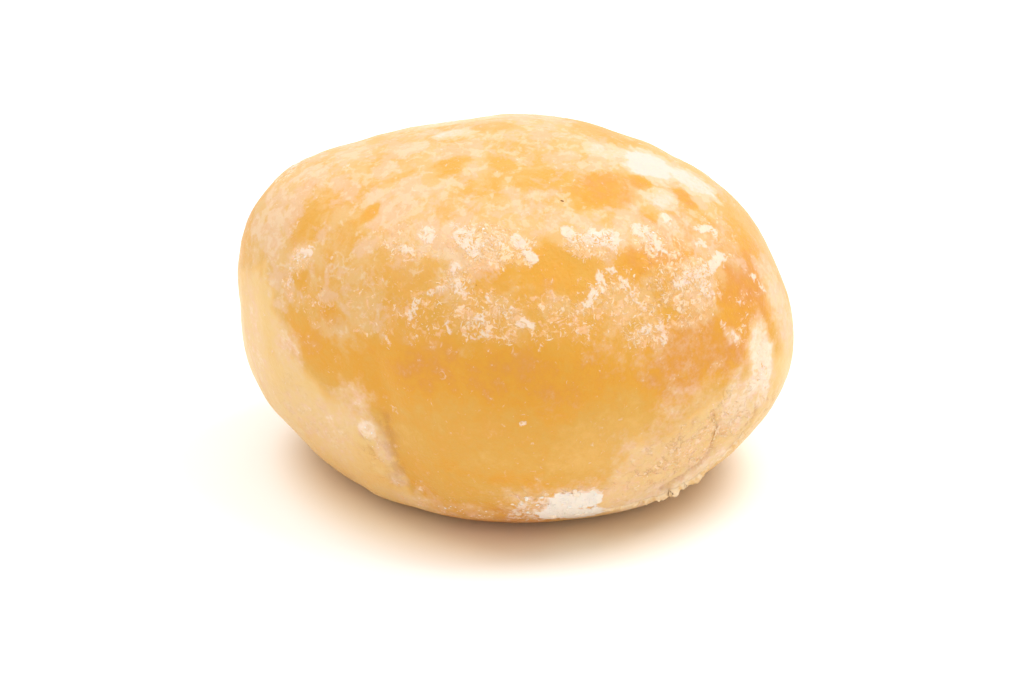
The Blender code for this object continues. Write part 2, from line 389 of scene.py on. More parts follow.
# Where loose flecks of sugar lie:
FLECKED = {
    "left shoulder": (300, 262, 3.2, 3.2, 0.6, 25),
    "left shoulder tail": (288, 285, 1.8, 3.2, 0.56, 10),
    "left flecks": (316, 306, 5, 5, 0.5),
    "left front flecks": (380, 312, 10, 6, 0.42),
    "left crown": (405, 242, 7, 4.4, 0.56),
    "front crown": (490, 243, 8, 4.8, 0.76, -8),
    "front crown tail": (457, 279, 3, 3.8, 0.66, -10),
    "front band left": (425, 316, 7, 5.4, 0.58),
    "front band": (490, 318, 9, 5.4, 0.64),
    "middle band": (560, 320, 10, 4.6, 0.58),
    "right of middle": (592, 244, 5.4, 3.4, 0.74, -8),
    "right streaks": (614, 296, 6.4, 4.4, 0.6),
    "right crown": (655, 240, 4.4, 3.8, 0.66, -30),
    "right speckle": (682, 280, 8, 9, 0.62, -20),
    "right white": (698, 276, 5, 3.4, 0.8, 10),
    "right front": (645, 325, 7, 4.6, 0.62),
    "far right": (745, 315, 4, 7, 0.4),
    "right cheek": (715, 372, 4, 4, 0.34),
    "right streak": (762, 368, 2.4, 6.6, 0.5),
    "lower right": (700, 442, 10, 7, 0.62, 30),
    "lower right low": (650, 476, 9, 5, 0.5, 25),
    "left fold": (378, 445, 1.6, 5.5, 0.44, 8),
    "foot": (470, 515, 12, 2, 0.5),
    "right rim": (720, 228, 4, 6, 0.5, -30),
}

# Where sugar is caked thick and white: pixels along each streak, half width in mm, and amount
CAKED = {
    "left crown": (((425, 230), (430, 238)), 1.3, 0.9),
    "left of front crown": (((402, 247), (412, 249)), 1.1, 0.66),
    "sweep top": (((456, 226), (470, 231)), 1.1, 0.84),
    "sweep": (((460, 234), (466, 244), (476, 252)), 1.3, 1),
    "sweep tail": (((478, 243), (492, 240), (500, 248)), 0.9, 0.72),
    "front crown right": (((514, 238), (524, 248), (535, 259)), 1, 0.92),
    "front crown tail": (((458, 268), (455, 279), (460, 290)), 1.2, 0.8),
    "band left": (((417, 302), (412, 315)), 0.8, 0.88),
    "band cream": (((430, 293), (443, 290)), 0.8, 0.6),
    "band middle": (((478, 300), (490, 298)), 0.9, 0.64),
    "band middle right": (((504, 313), (514, 306)), 0.9, 0.66),
    "band bright": (((479, 317), (482, 320)), 0.8, 0.9),
    "band bright right": (((522, 323), (533, 324)), 0.9, 0.82),
    "band low": (((472, 336), (489, 334)), 0.8, 0.58),
    "band low left": (((448, 324), (450, 331)), 0.7, 0.72),
    "right of middle left": (((569, 231), (577, 239)), 1.4, 0.92),
    "right of middle": (((594, 237), (611, 238)), 1.9, 1.04),
    "right of middle tail": (((611, 247), (620, 253)), 0.8, 0.7),
    "wedge": (((638, 228), (646, 236), (655, 243)), 1.7, 0.94),
    "wedge tail": (((652, 246), (667, 251)), 0.7, 0.7),
    "right crown pink": (((666, 218), (672, 226)), 1.1, 0.68),
    "right crown ring": (((697, 230), (712, 229), (716, 240)), 0.9, 0.7),
    "right crown bright": (((699, 242), (704, 246)), 1, 0.96),
    "star left": (((678, 284), (686, 277), (700, 275)), 1.2, 0.97),
    "star right": (((704, 272), (713, 265), (721, 257)), 1.3, 0.94),
    "star down": (((701, 280), (708, 292)), 1.3, 0.94),
    "streak top": (((598, 272), (612, 271)), 0.8, 0.72),
    "streak middle": (((600, 278), (603, 289)), 1, 0.88),
    "streak": (((595, 293), (586, 304)), 0.9, 0.96),
    "streak spot": (((582, 281), (584, 284)), 0.8, 0.62),
    "thin streak": (((622, 280), (632, 296), (643, 310)), 0.7, 0.76),
    "right front": (((660, 325), (666, 340)), 1, 0.66),
    "right front left": (((640, 330), (649, 328)), 0.9, 0.6),
    "right pink streak": (((720, 325), (739, 343)), 1, 0.54),
    "right pale streak": (((751, 276), (763, 290)), 0.9, 0.6),
    "right small streak": (((741, 303), (745, 314)), 0.7, 0.58),
    "left shoulder": (((297, 258), (310, 251)), 1.4, 0.62),
    "left shoulder tail": (((292, 268), (290, 284)), 0.9, 0.6),
    "right streak": (((760, 352), (763, 384)), 1.2, 0.7),
    "left fold": (((364, 427), (371, 431)), 1.2, 0.44),
    "front speck": (((520, 424), (526, 424)), 0.6, 0.6),
    "clump right": (((562, 501), (590, 500)), 2.4, 1.8),
    "clump right low": (((559, 514), (584, 514)), 4, 1.9),
    "clump left": (((526, 505), (550, 503)), 2.8, 0.68),
    "clump left low": (((522, 515), (546, 516)), 3.2, 0.68),
}

# Where thin brown lines and creases crinkle the dough:
CRINKLED = {
    "lower right": (690, 448, 14, 7, 1, 35),
    "right end": (758, 410, 6, 6, 0.8),
    "right speckle": (672, 290, 6, 6, 0.6),
    "lower left": (310, 410, 9, 9, 0.35, -35),
    "left fold": (376, 450, 4, 7, 0.5, 8),
    "clump": (555, 506, 9, 6, 0.7),
}

# The same on the side that the photograph doesn't show, with (side, up) for the pixel:
BACK_BROWNED = {
    "back band": (180, 14, 20, 5, 0.34),
    "left back": (-128, 18, 12, 6, 0.3),
    "right back": (128, 16, 12, 6, 0.4),
    "underside": (0, -88, 20, 18, 0.45),
}
BACK_FILMED = {
    "back crown": (180, 52, 30, 12, 0.6),
    "left back shoulder": (-120, 34, 14, 9, 0.58, 10),
    "right back shoulder": (130, 30, 14, 9, 0.54, -10),
    "back band": (178, 24, 22, 5, 0.28),
}
BACK_POWDERED = {
    "back crown": (165, 46, 10, 4, 0.54, 6),
    "back crown left": (-150, 54, 12, 4, 0.6, -12),
    "left back shoulder": (-110, 31, 7, 3, 0.54, 15),
    "right back shoulder": (120, 33, 7, 3, 0.54, -15),
    "left back low": (-112, -12, 13, 9, 0.5),
    "right back low": (125, -16, 13, 8, 0.5),
    "back fold": (-143, -3, 2.6, 7, 0.66, -20),
    "right back fold": (114, -9, 2.6, 7, 0.66, 20),
    "right end low": (98, -20, 9, 6, 0.46, 10),
    "left end low": (-96, -20, 9, 6, 0.46, -10),
    "back low": (174, -12, 12, 5, 0.4),
    "back foot": (-169, -25, 14, 5, 0.62),
    "underside": (40, -80, 16, 12, 0.4, 30),
}
BACK_BARED = {
    "back crown window": (-170, 40, 7, 3.4, 0.9),
    "back crown window right": (142, 52, 4, 3, 0.75, 20),
    "left back window": (-128, 26, 3.4, 2.6, 0.85),
    "right back window": (112, 22, 4, 3, 0.85),
}
BACK_FLECKED = {
    "back crown": (165, 44, 12, 5, 0.8, 5),
    "back crown left": (-150, 34, 9, 6, 0.6, -15),
    "back band": (178, 22, 22, 6, 0.56),
    "left back shoulder": (-108, 30, 9, 5, 0.7, 12),
    "left back": (-118, 8, 7, 6, 0.4),
    "right back shoulder": (122, 32, 9, 5, 0.75, -12),
    "right back": (132, 8, 8, 6, 0.5),
    "back fold": (-144, -3, 1.2, 6, 0.65, -20),
    "back foot": (-170, -24, 9, 3, 0.9),
    "right end low": (96, -16, 8, 6, 0.44),
    "left end low": (-98, -16, 8, 6, 0.44),
    "back low": (176, -10, 14, 5, 0.44),
    "underside rim": (100, -42, 12, 3, 0.5),
    "underside": (30, -75, 14, 10, 0.35, 20),
}
BACK_CAKED = {
    "back crown": (((170, 43), (163, 47), (156, 46)), 1.6, 1),
    "back crown right": (((150, 40), (144, 36)), 1.2, 0.9),
    "back crown left": (((-156, 38), (-150, 35)), 1.1, 0.9),
    "back band": (((-176, 24), (-170, 21)), 0.9, 0.72),
    "back band right": (((162, 20), (158, 15)), 0.8, 0.76),
    "back band low": (((-160, 12), (-155, 10)), 0.8, 0.66),
    "back streak": (((150, 22), (146, 14)), 0.9, 0.84),
    "left back shoulder": (((-116, 30), (-109, 33), (-104, 31)), 1.4, 0.96),
    "left back streak": (((-98, 22), (-94, 15)), 0.9, 0.84),
    "left back spot": (((-124, 16), (-122, 14)), 0.9, 0.76),
    "right back shoulder": (((114, 36), (121, 33), (126, 30)), 1.4, 0.96),
    "right back streak": (((106, 22), (102, 14)), 0.9, 0.84),
    "right back spot": (((134, 18), (137, 16)), 0.9, 0.76),
    "back fold": (((-148, 2), (-144, -4), (-141, -9)), 1, 0.76),
    "back foot": (((-176, -25), (-166, -24)), 3, 1.4),
}
BACK_CRINKLED = {
    "back fold": (-143, -2, 7, 8, 0.9),
    "right back fold": (115, -8, 8, 8, 0.8),
    "back foot": (-170, -24, 8, 3, 0.8),
}


def covered(crust, seen, behind):
    """The most that any of these patches covers each point."""
    most = np.zeros(len(crust.points))
    for found, half_width, half_height, amount, *turn in crust.spots(seen, behind):
        most = np.maximum(most, amount * crust.patch(found, half_width * MM, half_height * MM, *turn))
    return most


STREAK_END = 1.4  # the share of a streak's half width where it has faded out
STREAK_RAGGEDNESS = 0.5
STREAK_SCALE = 1.1 * MM


def streaked(crust, seen, behind):
    """The most that any of these streaks covers each point."""
    ragged = STREAK_RAGGEDNESS * layered_field(crust.points, STREAK_SCALE, 2, 2.0)
    most = np.zeros(len(crust.points))
    for line, half_width, amount in crust.lines(seen, behind):
        out = distance_to_line(crust.points, line) / (half_width * MM)
        most = np.maximum(most, amount * soft(STREAK_END - out + ragged))
    return most


def fried_amount(crust):
    """From 0 for pale dough to 1 for crust that is browned."""
    line = np.interp(crust.side, *zip(*FRY_LINE))
    line = line + FRY_WANDER * layered_field(crust.points, FRY_WANDER_SCALE, 3, 3.1)
    above = soft(0.5 + (crust.up - line) / FRY_EDGE)
    below = soft(0.5 + (UNDERSIDE_FRIED - crust.up) / FRY_EDGE)
    fried = GOLDEN * np.maximum(above, below)
    fried += (1 - GOLDEN) * covered(crust, BROWNED, BACK_BROWNED)
    return np.clip(fried - covered(crust, PALED, {}), 0.0, 1.0)


FILM_ON_TOP = 0.50  # the film's amount over the whole crown
FILM_START, FILM_FULL = 8.0, 42.0  # up, between which it thickens to that


def filmed_amount(crust):
    top = FILM_ON_TOP * soft((crust.up - FILM_START) / (FILM_FULL - FILM_START))
    filmed = np.maximum(top, covered(crust, FILMED, BACK_FILMED))
    return filmed * (1 - covered(crust, BARED, BACK_BARED))


# ---- The crust's relief

UNEVENNESS = ((5.5 * MM, 0.13 * MM), (2.3 * MM, 0.055 * MM), (1.1 * MM, 0.020 * MM))  # scale and height
CREASES = {  # pixels along it, half width and depth in mm; a lip has a depth below 0
    "left fold": (((384, 420), (389, 440), (393, 460), (401, 482)), 1.6, 0.3),
    "left fold crease": (((360, 434), (366, 443), (373, 452)), 0.35, 0.2),
    "left fold low crease": (((389, 472), (392, 486)), 0.35, 0.2),
    "right fold": (((756, 408), (749, 424), (738, 438)), 0.5, 0.3),
    "right lip": (((742, 434), (728, 448), (712, 464), (690, 478), (656, 494)), 0.9, -0.3),
    "right crease": ((
        (711, 412), (718, 425), (714, 438), (712, 448), (705, 458), (695, 467), (684, 475), (673, 482),
        (661, 489),
    ), 0.46, 0.4),
    "right crease inner": (((694, 418), (691, 430), (694, 440)), 0.4, 0.26),
    "right crease low": (((668, 446), (676, 458), (672, 470)), 0.36, 0.18),
}
BACK_CREASES = {
    "back fold": (((-152, 10), (-145, 7), (-142, 0), (-144, -7), (-137, -14)), 0.5, 0.32),
    "back lip": (((-154, 4), (-149, -4), (-143, -15)), 1, -0.26),
    "right back fold": (((101, 5), (104, -3), (113, -7), (118, -13), (130, -18)), 0.5, 0.32),
    "right back lip": (((103, -9), (116, -16), (128, -23)), 1, -0.26),
}
WANDER, WANDER_SCALE = 0.5 * MM, 1.6 * MM  # of creases and frills from their lines
CRINKLE_SCALE, CRINKLE_HEIGHT = 2.1 * MM, 0.34 * MM
CRINKLE_SHARPNESS, CRINKLE_LEVEL = 2.2, 0.4  # its ridges rise above that level and its hollows lie below
CAKE_HEIGHT, CAKE_LUMPS = 0.08 * MM, 1.0 * MM
TABLE_FADE = 2 * MM  # height below which the relief fades towards the table
BOX_MARGIN = 0.10 * MM  # between the crust and the solid's box


def box_within(margin):
    """The low and high corners of the solid's box, drawn in by a margin."""
    return np.array(CAD_BOX[0]) + margin, np.array(CAD_BOX[1]) - margin


def wandering(points):
    """The points, moved a little to and fro, so that the lines near them aren't smooth."""
    moves = [field(points, WANDER_SCALE, shift) for shift in (2.0, 5.0, 8.0)]
    return points + WANDER * np.stack(moves, axis=1)


def creased_and_shaded_amount(crust, creases):
    """1 along the middle of the deepest creases, where the dough is painted darkest: its own browning and
    painted shade in the creases.
    """
    points = wandering(crust.points)
    deepest = max(depth for _, _, depth in creases)
    creased_and_shaded = np.zeros(len(points))
    for line, half, depth in creases:
        if depth > 0:
            creased_and_shaded = np.maximum(creased_and_shaded, depth / deepest * hump(distance_to_line(points, line), half))
    return creased_and_shaded


def raise_relief(net, crust, creases, caked, crinkled):
    """Moves the net along the smooth crust's normals."""
    points = crust.points
    lift = sum(height * field(points, scale) for scale, height in UNEVENNESS)
    ridges = 1 - CRINKLE_SHARPNESS * np.abs(layered_field(points, CRINKLE_SCALE, 3, 9.0))
    lift += CRINKLE_HEIGHT * crinkled * (ridges - CRINKLE_LEVEL)
    wandered = wandering(points)
    for line, half, depth in creases:
        lift -= depth * hump(distance_to_line(wandered, line), half)
    lift += CAKE_HEIGHT * caked * (0.75 + 0.5 * field(points, CAKE_LUMPS, 4.0))
    free_of_table = soft(points[:, 2] / TABLE_FADE)
    low, high = box_within(BOX_MARGIN)
    low[2] = FOOT_CLEARANCE
    net.points = np.clip(points + crust.normals * (lift * free_of_table)[:, None], low, high)


# ---- Materials


def linear(red, green, blue):
    """A colour from its sRGB values of 0 to 255."""
    shares = [value / 255 for value in (red, green, blue)]
    return (*[s / 12.92 if s <= 0.04045 else ((s + 0.055) / 1.055) ** 2.4 for s in shares], 1.0)


# The bare crust, from pale dough to browned
FRIED_COLOURS = (
    (0.0, linear(222, 184, 120)), (0.22, linear(220, 172, 96)), (0.46, linear(210, 159, 73)),
    (0.70, linear(214, 152, 51)), (1.0, linear(204, 132, 62)),
)
# Brown of the crinkle lines and creases, partly painted shade
CREASE_BROWN_AND_SHADE = linear(182, 124, 70)
FILM_HAZE = linear(211, 179, 130)
FILM_SHEETS = {
    "wide sheets": linear(217, 184, 136),
    "middle sheets": linear(218, 180, 152),
    "small sheets": linear(222, 195, 160),
}
# White of the thickest film, which also serves as a painted reflection on the crown's top right
GLAZE_AND_REFLECTION = linear(218, 202, 188)
POWDER, POWDER_PINK, POWDER_WHITE = linear(224, 192, 148), linear(225, 188, 156), linear(242, 224, 206)
FLECK_VEIL = linear(228, 176, 114)
FLECK, FLECK_PINK, FLECK_LIGHT = linear(232, 184, 126), linear(232, 186, 148), linear(238, 206, 170)
CAKE, CAKE_PINK, THICK_CAKE = linear(232, 208, 184), linear(232, 198, 178), linear(233, 226, 215)
# The darkest and the lightest of each kind of loose piece
LOOSE_SUGAR = linear(228, 174, 106), linear(238, 208, 170)
CAKED_SUGAR = linear(240, 216, 190), THICK_CAKE
BURNT_DOUGH = linear(120, 74, 34), linear(160, 104, 52)
TORN_SKIN = linear(226, 182, 124), linear(240, 212, 174)

NOISES = {  # size in mm, detail, roughness, distortion and shift
    "clouds": (7, 6, 0.62, 0, 0),
    "mottle": (2.2, 5, 0.62, 0, 3),
    "fine": (0.7, 3, 0.6, 0, 5),
    "crinkles": (1.9, 3, 0.55, 0.5, 7),
    "wide sheets": (8, 5, 0.62, 0.4, 11),
    "middle sheets": (4, 5, 0.62, 0.4, 12),
    "small sheets": (2, 5, 0.62, 0.4, 13),
    "pink powder": (1.8, 4, 0.6, 0, 17),
    "petals": (1.5, 3, 0.55, 1.4, 21),
    "pink petals": (2.6, 3, 0.6, 0, 23),
    "chips": (0.8, 2, 0.6, 0.8, 25),
    "torn cake": (1.3, 3, 0.6, 1.2, 31),
    "pink cake": (1.6, 4, 0.6, 0, 13),
    "flake clouds": (0.5, 3, 0.6, 0, 0),
    "flake grit": (0.15, 2, 0.6, 0, 0),
}
LAYERS = {  # the values at which a layer starts and is full, and its opacity there
    "crinkles": (0.034, 0.004, 0.4),
    "broken crinkles": (0.4, 0.6, 1),
    "creases": (0.34, 0.6, 0.66),
    "haze": (0, 1, 0.58),
    "wide sheets": (0.22, 0.66, 0.46),
    "middle sheets": (0.37, 0.67, 0.5),
    "small sheets": (0.5, 0.74, 0.5),
    "glaze_and_reflection": (0.8, 1.02, 0.88),
    "powder": (0.05, 0.75, 0.9),
    "pink powder": (0.46, 0.6, 1),
    "white powder": (0.5, 1.05, 0.95),
    "veil": (0.25, 0.95, 0.35),
    "petals": (0.62, 0.84, 0.62),
    "pink petals": (0.45, 0.58, 1),
    "chips": (0.78, 0.96, 0.75),
    "cake": (0.4, 0.95, 0.94),
    "pink cake": (0.5, 0.64, 0.8),
    "thick cake": (0.98, 1.1, 0.85),
    "roughness": (-0.9, 1.4, 1),  # of the whole crust, by its sugar
    "light flakes": (0, 1, 1),
}
FEATURE_SHRINK = (1.0, 0.75, 1.0)  # below 1, the features of a noise are longer, as they are front to back
PORE_DEPTH, CREASE_DEPTH, FLECK_RISE, CAKE_RISE = 0.14 * MM, 0.25 * MM, 0.06 * MM, 0.05 * MM
GRIT_RISE = 0.03 * MM


class Shading:
    """A material's nodes, with short calls for those that the materials share."""

    def __init__(self, name):
        self.material = bpy.data.materials.new(name)
        self.material.use_nodes = True
        self.nodes = self.material.node_tree.nodes
        self.links = self.material.node_tree.links
        self.shader = self.nodes["Principled BSDF"]
        self.place = self.nodes.new("ShaderNodeTexCoord").outputs["Object"]

    def feed(self, socket, value):
        if isinstance(value, bpy.types.NodeSocket):
            self.links.new(value, socket)
        else:
            socket.default_value = value

    def fill(self, node, **values):
        """Sets or feeds a node's inputs, which are named with _ for each space."""
        for name, value in values.items():
            self.feed(node.inputs[name.replace("_", " ")], value)
        return node

    def node(self, kind, **values):
        return self.fill(self.nodes.new("ShaderNode" + kind), **values)

    def amount(self, name):
        """An amount that the mesh holds at each point."""
        node = self.node("Attribute")
        node.attribute_name = name
        return node.outputs["Fac"]

    def maths(self, operation, *values):
        node = self.node("Math")
        node.operation = operation
        for socket, value in zip(node.inputs, values):
            self.feed(socket, value)
        return node.outputs["Value"]

    def noise(self, name):
        """The noise of that name, about 0.5."""
        size, detail, roughness, distortion, shift = NOISES[name]
        moved = self.node("Mapping", Vector=self.place, Location=(shift, shift, shift), Scale=FEATURE_SHRINK)
        node = self.node("TexNoise", Vector=moved.outputs["Vector"], Scale=1 / (size * MM))
        self.fill(node, Detail=detail, Roughness=roughness, Distortion=distortion)
        return node.outputs["Fac"]

    def stirred(self, value, *stirring):
        """The value, raised and lowered by each noise times its share."""
        for noise_value, share in stirring:
            value = self.maths("MULTIPLY_ADD", self.maths("SUBTRACT", noise_value, 0.5), share, value)
        return value

    def step(self, value, low, high, end=1.0):
        """0 up to low and end from high, with a soft bend at both."""
        node = self.node("MapRange", Value=value, From_Min=low, From_Max=high, To_Max=end)
        node.interpolation_type = "SMOOTHSTEP"
        return node.outputs["Result"]

    def layer(self, name, value):
        """The opacity of the layer of that name at a value."""
        return self.step(value, *LAYERS[name])

    def ramp(self, value, stops):
        node = self.node("ValToRGB", Fac=value)
        points = node.color_ramp.elements
        while len(points) < len(stops):
            points.new(0.5)
        for point, (place, colour) in zip(points, stops):
            point.position = place
            point.color = colour
        return node.outputs["Color"]

    def mix(self, share, first, second):
        """The first colour at a share of 0 and the second at 1."""
        node = self.node("Mix")
        node.data_type = "RGBA"
        self.feed(node.inputs["Factor"], share)
        self.feed(node.inputs[6], first)
        self.feed(node.inputs[7], second)
        return node.outputs[2]

    def bump(self, height, distance, **below):
        """The normal of a surface raised by height times distance, in metres, over the one below."""
        return self.node("Bump", Height=height, Distance=distance, **below).outputs["Normal"]


def crust_material():
    made = Shading("sugared_crust")
    clouds, mottle, fine = made.noise("clouds"), made.noise("mottle"), made.noise("fine")

    fried = made.stirred(made.amount("fried"), (clouds, 0.6), (mottle, 0.4), (fine, 0.16))
    colour = made.ramp(fried, FRIED_COLOURS)

    # Thin brown lines where the dough is crinkled, and darker brown in the creases; both are partly the
    # dough's own browning and partly painted shade in its folds
    near_line = made.maths("ABSOLUTE", made.maths("SUBTRACT", made.noise("crinkles"), 0.5))
    broken = made.maths("MULTIPLY", made.amount("crinkled"), made.layer("broken crinkles", mottle))
    lines = made.maths("MULTIPLY", made.layer("crinkles", near_line), broken)
    creased_and_shaded = made.maths("MULTIPLY", made.amount("creased_and_shaded"), made.layer("creases", mottle))
    lines = made.maths("MAXIMUM", lines, creased_and_shaded)

    # The film: a haze, torn sheets one over another, and glassy white where it is thickest, which on the
    # crown's top right is partly a painted reflection of the lights
    filmed = made.amount("filmed")
    film = made.layer("haze", made.stirred(filmed, (clouds, 1.0)))
    colour = made.mix(film, colour, FILM_HAZE)
    for name, tint in FILM_SHEETS.items():
        sheet = made.layer(name, made.stirred(filmed, (made.noise(name), 2.2), (fine, 0.4)))
        colour = made.mix(sheet, colour, tint)
        film = made.maths("MAXIMUM", film, sheet)
    glaze_and_reflection = made.layer("glaze_and_reflection", made.stirred(filmed, (clouds, 0.5), (fine, 0.3)))
    colour = made.mix(glaze_and_reflection, colour, GLAZE_AND_REFLECTION)

    # Powder, which whitens as it thickens
    powdered = made.stirred(made.amount("powdered"), (clouds, 0.7), (mottle, 0.9), (fine, 0.5))
    tint = made.mix(made.layer("pink powder", made.noise("pink powder")), POWDER, POWDER_PINK)
    tint = made.mix(made.layer("white powder", powdered), tint, POWDER_WHITE)
    powder = made.layer("powder", powdered)
    colour = made.mix(powder, colour, tint)
    colour = made.mix(lines, colour, CREASE_BROWN_AND_SHADE)

    # Loose sugar: a veil, torn petals over it, and the lightest chips
    flecked = made.amount("flecked")
    veil = made.layer("veil", made.stirred(flecked, (mottle, 1.6), (clouds, 0.6)))
    colour = made.mix(veil, colour, FLECK_VEIL)
    petals = made.stirred(flecked, (made.noise("petals"), 2.2), (mottle, 1.0), (fine, 0.4))
    petals = made.layer("petals", petals)
    tint = made.mix(made.layer("pink petals", made.noise("pink petals")), FLECK, FLECK_PINK)
    colour = made.mix(petals, colour, tint)
    chips = made.layer("chips", made.stirred(flecked, (made.noise("chips"), 2.4), (mottle, 1.4)))
    colour = made.mix(chips, colour, FLECK_LIGHT)
    flecks = made.maths("MAXIMUM", petals, chips)

    # Caked sugar, whitest where it is thick
    caked = made.amount("caked")
    torn = made.stirred(caked, (mottle, 1.6), (made.noise("torn cake"), 2.4), (fine, 0.7))
    cake = made.layer("cake", torn)
    tint = made.mix(made.layer("pink cake", made.noise("pink cake")), CAKE, CAKE_PINK)
    tint = made.mix(made.layer("thick cake", caked), tint, THICK_CAKE)
    colour = made.mix(cake, colour, tint)

    sugar = made.maths("MAXIMUM", made.maths("MAXIMUM", film, powder), made.maths("MAXIMUM", flecks, cake))
    normal = made.bump(fine, PORE_DEPTH)
    normal = made.bump(made.maths("SUBTRACT", 1.0, lines), CREASE_DEPTH, Normal=normal)
    normal = made.bump(flecks, FLECK_RISE, Normal=normal)
    normal = made.bump(cake, CAKE_RISE, Normal=normal)
    made.fill(
        made.shader, Base_Color=colour, Normal=normal, Roughness=made.layer("roughness", sugar),
        Specular_IOR_Level=0.15, Sheen_Weight=0.04, Sheen_Roughness=0.5,
        Subsurface_Weight=0.15, Subsurface_Radius=(1.0, 0.45, 0.18), Subsurface_Scale=2.5 * MM,
    )
    return made.material


def flake_material(name, dark, light):
    """Each flake has its own tint between the two colours."""
    made = Shading(name)
    cloudy = made.stirred(made.amount("tint"), (made.noise("flake clouds"), 1.2))
    made.fill(
        made.shader, Base_Color=made.mix(made.layer("light flakes", cloudy), dark, light),
        Normal=made.bump(made.noise("flake grit"), GRIT_RISE), Roughness=0.6, Specular_IOR_Level=0.25,
        Subsurface_Weight=0.2, Subsurface_Radius=(1.0, 0.7, 0.5), Subsurface_Scale=0.8 * MM,
    )
    return made.material


# ---- Loose sugar and skin: closed solids, each kind joined into one mesh

CANDIDATES = 4  # places drawn for each one that is kept
DENSITY_POWER = 3  # the higher, the fewer lie where the density is low
CLUSTER_SCALE = 1.5 * MM  # of the clusters in which loose sugar lies
CLUSTER_DENSITY = 1.6  # how strongly they keep to where the density is high
CLUSTER_LOOSENESS = 0.12  # how many lie outside them
OUT_OF_BOX = 9.0  # enough to keep a place outside the box from being chosen

WISP_COUNT = 2800
WISP_ROWS = 5  # along each
WISP_LENGTH = (0.35 * MM, 1.50 * MM)
WISP_SHORTNESS = 2.6  # above 1, most are short
WISP_WIDTH = (0.18 * MM, 0.50 * MM)
WISP_HEIGHT = (0.03 * MM, 0.06 * MM)
WISP_FULLNESS = (0.6, 1.2)
WISP_BEND = 1.6  # the most that it turns from end to end, in radians
WISP_SUNK = 0.02 * MM
WISP_DARKNESS = 1.6  # above 1, most are dark
GRAIN_COUNT = 5000
GRAIN_RIM = 4  # corners round each
GRAIN_SIZE = (0.08 * MM, 0.20 * MM)
GRAIN_REACH = (0.55, 1.15)  # of its corners, against half its size
GRAIN_TURN = 0.3  # the most by which a corner is off its place, against their spacing
GRAIN_THICKNESS = 0.3  # against its size

LUMP_BEDS = {  # pixel, half width and half height in mm, lumps, least and most radius in mm, and any turn
    "clump right": (575, 507, 4.6, 4.6, 22, 0.3, 0.8, 2),
    "clump left": (534, 507, 3.6, 3.6, 10, 0.2, 0.5),
    "bottom edge": (478, 513, 6, 1.6, 14, 0.12, 0.28),
    "front crown": (484, 236, 4.6, 1.8, 8, 0.12, 0.26, -12),
    "right of middle": (596, 240, 3.4, 1.4, 7, 0.12, 0.26),
    "right crown": (650, 236, 2.2, 1.8, 6, 0.12, 0.26, -35),
    "right white": (696, 272, 3.6, 2, 8, 0.12, 0.26, 15),
    "streak": (594, 294, 0.7, 2.4, 5, 0.12, 0.24, -28),
    "right streak": (763, 368, 1, 4.2, 6, 0.12, 0.24),
    "left fold": (372, 438, 1.2, 3.4, 5, 0.12, 0.24, 10),
    "left shoulder": (300, 262, 2, 2, 5, 0.12, 0.24, 20),
}
BACK_LUMP_BEDS = {
    "back crown": (163, 45, 6, 2, 10, 0.14, 0.3, 8),
    "back crown right": (148, 38, 3, 1.6, 6, 0.12, 0.28, -20),
    "left back shoulder": (-110, 31, 4, 1.6, 8, 0.12, 0.28, 15),
    "right back shoulder": (120, 34, 3.6, 1.6, 8, 0.12, 0.28, -15),
    "back foot": (-171, -24, 5, 2.4, 20, 0.22, 0.6),
    "back edge": (150, -34, 8, 1.4, 14, 0.12, 0.28),
}
LUMP_FLATNESS = 0.45
LUMP_ROUGHNESS, LUMP_DETAIL = 0.30, 1.6  # how uneven it is, and how many bulges it has
LUMP_SUNK = 0.30  # of its radius, below the crust
LUMP_SLIMNESS = (0.6, 1.0)  # its width against its length
SPECKS = ((562, 201), (476, 285), (322, 289))  # pixels of the tiny dark crumbs
BACK_SPECKS = ((168, 36), (-135, 22), (128, 30))
SPECK_RADII = (0.34 * MM, 0.14 * MM, 0.14 * MM)  # of the crumbs, in turn
SPECK_SLIMNESS = (0.35, 0.6)

FRILL_LINES = {  # pixels along it, and its length from root to tip in mm
    "right lip": (((744, 430), (728, 448), (712, 464)), 0.8),
    "right edge": (((710, 463), (702, 469), (690, 478), (672, 487), (656, 495), (640, 501)), 1.7),
    "bottom edge": (((642, 500), (628, 504), (612, 508), (600, 510)), 0.9),
    "right crease": (((712, 414), (718, 425), (714, 438), (706, 456)), 0.5),
}
BACK_FRILL_LINES = {
    "back fold": (((-151, 9), (-144, 6), (-141, 0), (-143, -7), (-137, -13)), 0.7),
    "right back fold": (((101, 4), (104, -4), (113, -8), (118, -14), (129, -19)), 0.7),
}
FRILL_STEP = 0.12 * MM
FRILL_ROWS = 4
FRILL_RISE = 32.0  # degrees by which it stands up from the crust
FRILL_FLUTTER = 40.0  # degrees by which that varies
FRILL_END = 1.0 * MM  # over which it narrows at both ends
FRILL_REACH, FRILL_RAGGEDNESS = 0.70, 1.1  # against its length, how far it stands out, and how that varies
FRILL_LIMITS = (0.15, 1.2)  # the least and the most of that
FRILL_TEARS = 1.5 * MM  # the size of its tears
FRILL_TINT, FRILL_DARKER, FRILL_MOTTLE = 0.8, 0.5, 0.6  # at its root, less at its tip, and how it varies
FRILL_SUNK = 0.08 * MM
FRILL_THICKNESS = (0.12 * MM, 0.05 * MM)  # at its root and at its tip
FRILL_SMOOTHED = 9  # steps over which its normals are evened out


